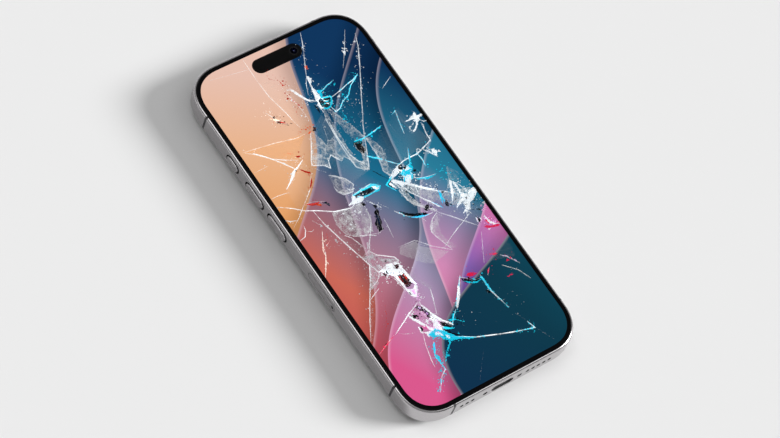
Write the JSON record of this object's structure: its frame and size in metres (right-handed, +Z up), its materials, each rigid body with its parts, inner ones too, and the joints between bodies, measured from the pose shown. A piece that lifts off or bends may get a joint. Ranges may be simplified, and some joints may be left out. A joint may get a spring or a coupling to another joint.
{
  "type": "shattered screen phone",
  "caption": "Flat-sided smartphone lying on its back, its lit screen under a cover glass that is cracked and chipped all over, with working side buttons and a card tray.",
  "frame": {"origin": "under the middle of the body, in the plane of the rear lens rings' lowest faces, which the phone rests on", "axes": "+X to the right and +Y to the top of the phone, seen from the front; +Z up out of the screen"},
  "size_m": [0.0712, 0.1472, 0.0107],
  "materials": {
    "cracked_glass": "polished, cracked",
    "band_metal": "satin",
    "strip_plastic": "satin",
    "seal": "matte",
    "screen_picture": "glossy, lit",
    "sheet_steel": "satin",
    "lens_black": "polished",
    "black_plastic": "matte",
    "flex_film": "satin",
    "card_plastic": "satin",
    "back_coated_glass": "satin",
    "plate_aluminium": "satin",
    "coil_copper": "satin",
    "adhesive": "matte",
    "pouch": "satin",
    "board": "satin"
  },
  "bodies": {
    "phone": {"cover_glass": "cracked_glass", "side_frame": "band_metal", "antenna_strip_top": "strip_plastic", "antenna_strip_bottom": "strip_plastic", "antenna_strip_left_upper": "strip_plastic", "antenna_strip_left_lower": "strip_plastic", "antenna_strip_right_upper": "strip_plastic", "antenna_strip_right_lower": "strip_plastic", "display_gasket": "seal", "display_panel": "screen_picture", "display_backplate": "sheet_steel", "sensor_island": "seal", "front_camera": "lens_black", "infrared_camera": "lens_black", "dot_projector": "lens_black", "earpiece_speaker": "black_plastic", "left_button_flex": "flex_film", "right_button_flex": "flex_film", "sim_reader": "sheet_steel", "charge_port_shell": "sheet_steel", "charge_port_tongue": "black_plastic", "microphone_mesh": "sheet_steel", "speaker_mesh": "sheet_steel", "bottom_microphone": "black_plastic", "loudspeaker": "black_plastic", "bottom_screw_left": "sheet_steel", "bottom_screw_right": "sheet_steel", "back_glass": "back_coated_glass", "camera_plateau": "back_coated_glass", "rear_lens_ring_upper": "band_metal", "rear_lens_cover_upper": "lens_black", "rear_camera_upper": "black_plastic", "rear_lens_ring_lower": "band_metal", "rear_lens_cover_lower": "lens_black", "rear_camera_lower": "black_plastic", "flash_window": "card_plastic", "mid_plate": "plate_aluminium", "charging_coil": "coil_copper", "battery_adhesive_left": "adhesive", "battery_adhesive_right": "adhesive", "battery": "pouch", "logic_board": "board", "board_shield_upper": "sheet_steel", "board_shield_lower": "sheet_steel", "connector_cowling": "sheet_steel", "cowling_screw_left": "sheet_steel", "cowling_screw_right": "sheet_steel", "display_flex": "flex_film", "charge_port_flex": "flex_film", "haptic_motor": "sheet_steel"},
    "action_key": {"action_button": "band_metal"},
    "volume_up_key": {"volume_up_button": "band_metal"},
    "volume_down_key": {"volume_down_button": "band_metal"},
    "side_key": {"side_button": "band_metal"},
    "tray": {"sim_tray": "band_metal", "sim_card": "card_plastic"}
  },
  "joints": [
    {"name": "action_button_press", "type": "slide", "parent": "phone", "child": "action_key", "axis": [1, 0, 0], "range_m": [0, 0.0003], "stiffness_N_per_m": 2500},
    {"name": "volume_up_press", "type": "slide", "parent": "phone", "child": "volume_up_key", "axis": [1, 0, 0], "range_m": [0, 0.0003], "stiffness_N_per_m": 2500},
    {"name": "volume_down_press", "type": "slide", "parent": "phone", "child": "volume_down_key", "axis": [1, 0, 0], "range_m": [0, 0.0003], "stiffness_N_per_m": 2500},
    {"name": "side_button_press", "type": "slide", "parent": "phone", "child": "side_key", "axis": [-1, 0, 0], "range_m": [0, 0.0003], "stiffness_N_per_m": 2500},
    {"name": "sim_tray_slide", "type": "slide", "parent": "phone", "child": "tray", "axis": [-1, 0, 0], "range_m": [0, 0.012]}
  ]
}
